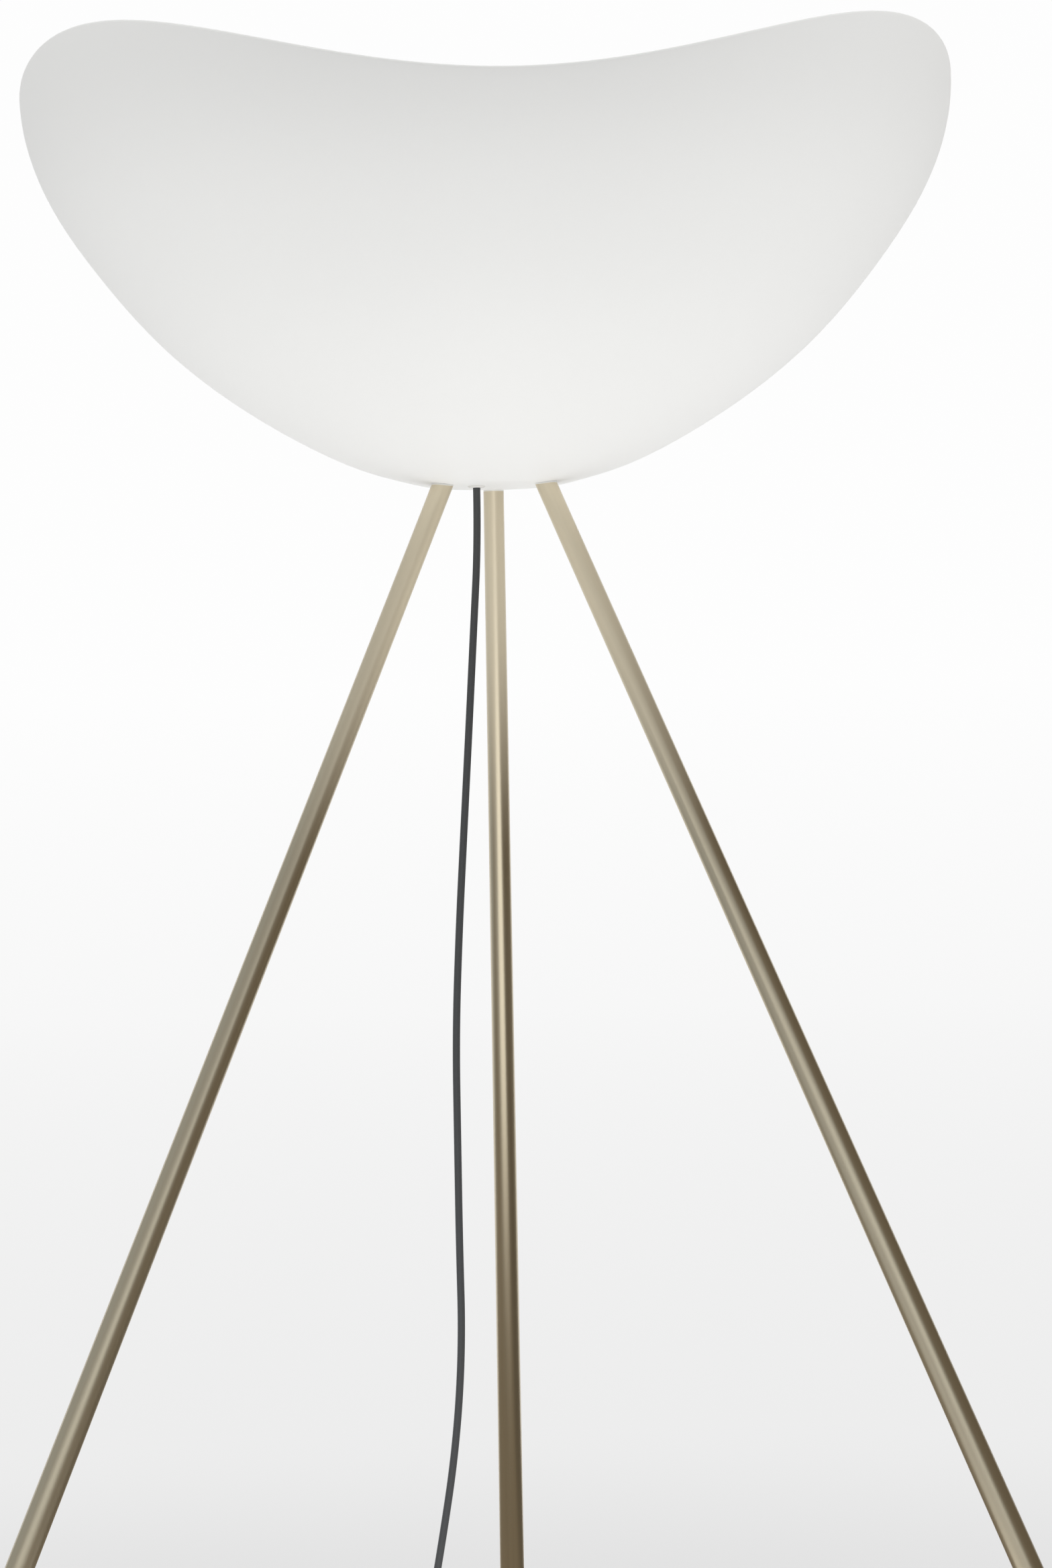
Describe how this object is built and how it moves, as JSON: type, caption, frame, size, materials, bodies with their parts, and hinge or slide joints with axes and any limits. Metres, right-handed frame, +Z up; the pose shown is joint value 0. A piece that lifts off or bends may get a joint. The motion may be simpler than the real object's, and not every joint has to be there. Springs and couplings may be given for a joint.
{
  "type": "tripod floor lamp",
  "caption": "Tripod floor lamp: a wide opal bowl with a wavy rim, clamped on splayed tapered brass legs, with a hanging cord, foot switch and plug.",
  "frame": {"origin": "on the lamp's vertical axis at floor level, midway between the three feet", "axes": "+Z up, -Y towards the front, midway between the two front legs, +X to the right seen from the front"},
  "size_m": [1.0254, 0.9301, 1.45],
  "materials": {
    "opal_shade": "matt opal white moulding",
    "satin_brass": "satin antique brass tube, drawn lengthways",
    "black_rubber": "matt",
    "white_nylon": "translucent white, smooth",
    "zinc_steel": "zinc plated",
    "cast_alloy": "fine sand-cast, painted white",
    "holder_plastic": "semi-gloss thermoplastic",
    "ceramic": "glazed ceramic",
    "contact_brass": "bright",
    "cord_sheath": "round charcoal sheath, semi-matt",
    "core_insulation": "insulated cores",
    "nickel": "nickel plated",
    "bulb_white": "moulded white",
    "chip_board": "white printed board",
    "opal_glass": "opal, satin",
    "black_plastic": "fine-textured moulding",
    "button_plastic": "smooth moulding",
    "spring_steel": "wire",
    "soft_black": "flexible moulding"
  },
  "bodies": {
    "lamp": {"bulb_board": "chip_board", "bulb_cap": "nickel", "bulb_globe": "opal_glass", "bulb_neck": "bulb_white", "bulb_tip": "nickel", "centre_contact": "contact_brass", "cord_coil": "cord_sheath", "cord_grommet": "white_nylon", "cord_hanging": "cord_sheath", "cord_on_floor": "cord_sheath", "cord_tail": "cord_sheath", "foot_front_left": "black_rubber", "foot_front_right": "black_rubber", "foot_rear": "black_rubber", "holder_cap": "holder_plastic", "holder_core": "ceramic", "holder_skirt": "holder_plastic", "hub": "cast_alloy", "hub_gasket": "white_nylon", "inner_lead": "cord_sheath", "lead_cores": "core_insulation", "leg_front_left": "satin_brass", "leg_front_right": "satin_brass", "leg_gasket_front_left": "white_nylon", "leg_gasket_front_right": "white_nylon", "leg_gasket_rear": "white_nylon", "leg_insert_front_left": "zinc_steel", "leg_insert_front_right": "zinc_steel", "leg_insert_rear": "zinc_steel", "leg_rear": "satin_brass", "leg_screws": "zinc_steel", "leg_washers": "zinc_steel", "plug_body": "black_plastic", "plug_pin_sleeves": "black_plastic", "plug_pins": "nickel", "plug_relief": "soft_black", "screw_shell": "contact_brass", "shade": "opal_shade", "stem": "zinc_steel", "stem_nuts": "zinc_steel", "switch_base": "black_plastic", "switch_cover": "black_plastic", "switch_mechanism": "contact_brass", "switch_relief_in": "soft_black", "switch_relief_out": "soft_black", "switch_screws": "zinc_steel", "switch_spring": "spring_steel", "terminal_screws": "zinc_steel"},
    "button": {"switch_button": "button_plastic"}
  },
  "joints": [
    {"name": "switch_press", "type": "slide", "parent": "lamp", "child": "button", "axis": [0, 0, -1], "range_m": [0, 0.003], "stiffness_N_per_m": 800, "springref_m": -0.001, "deforming": ["switch_spring"]}
  ]
}
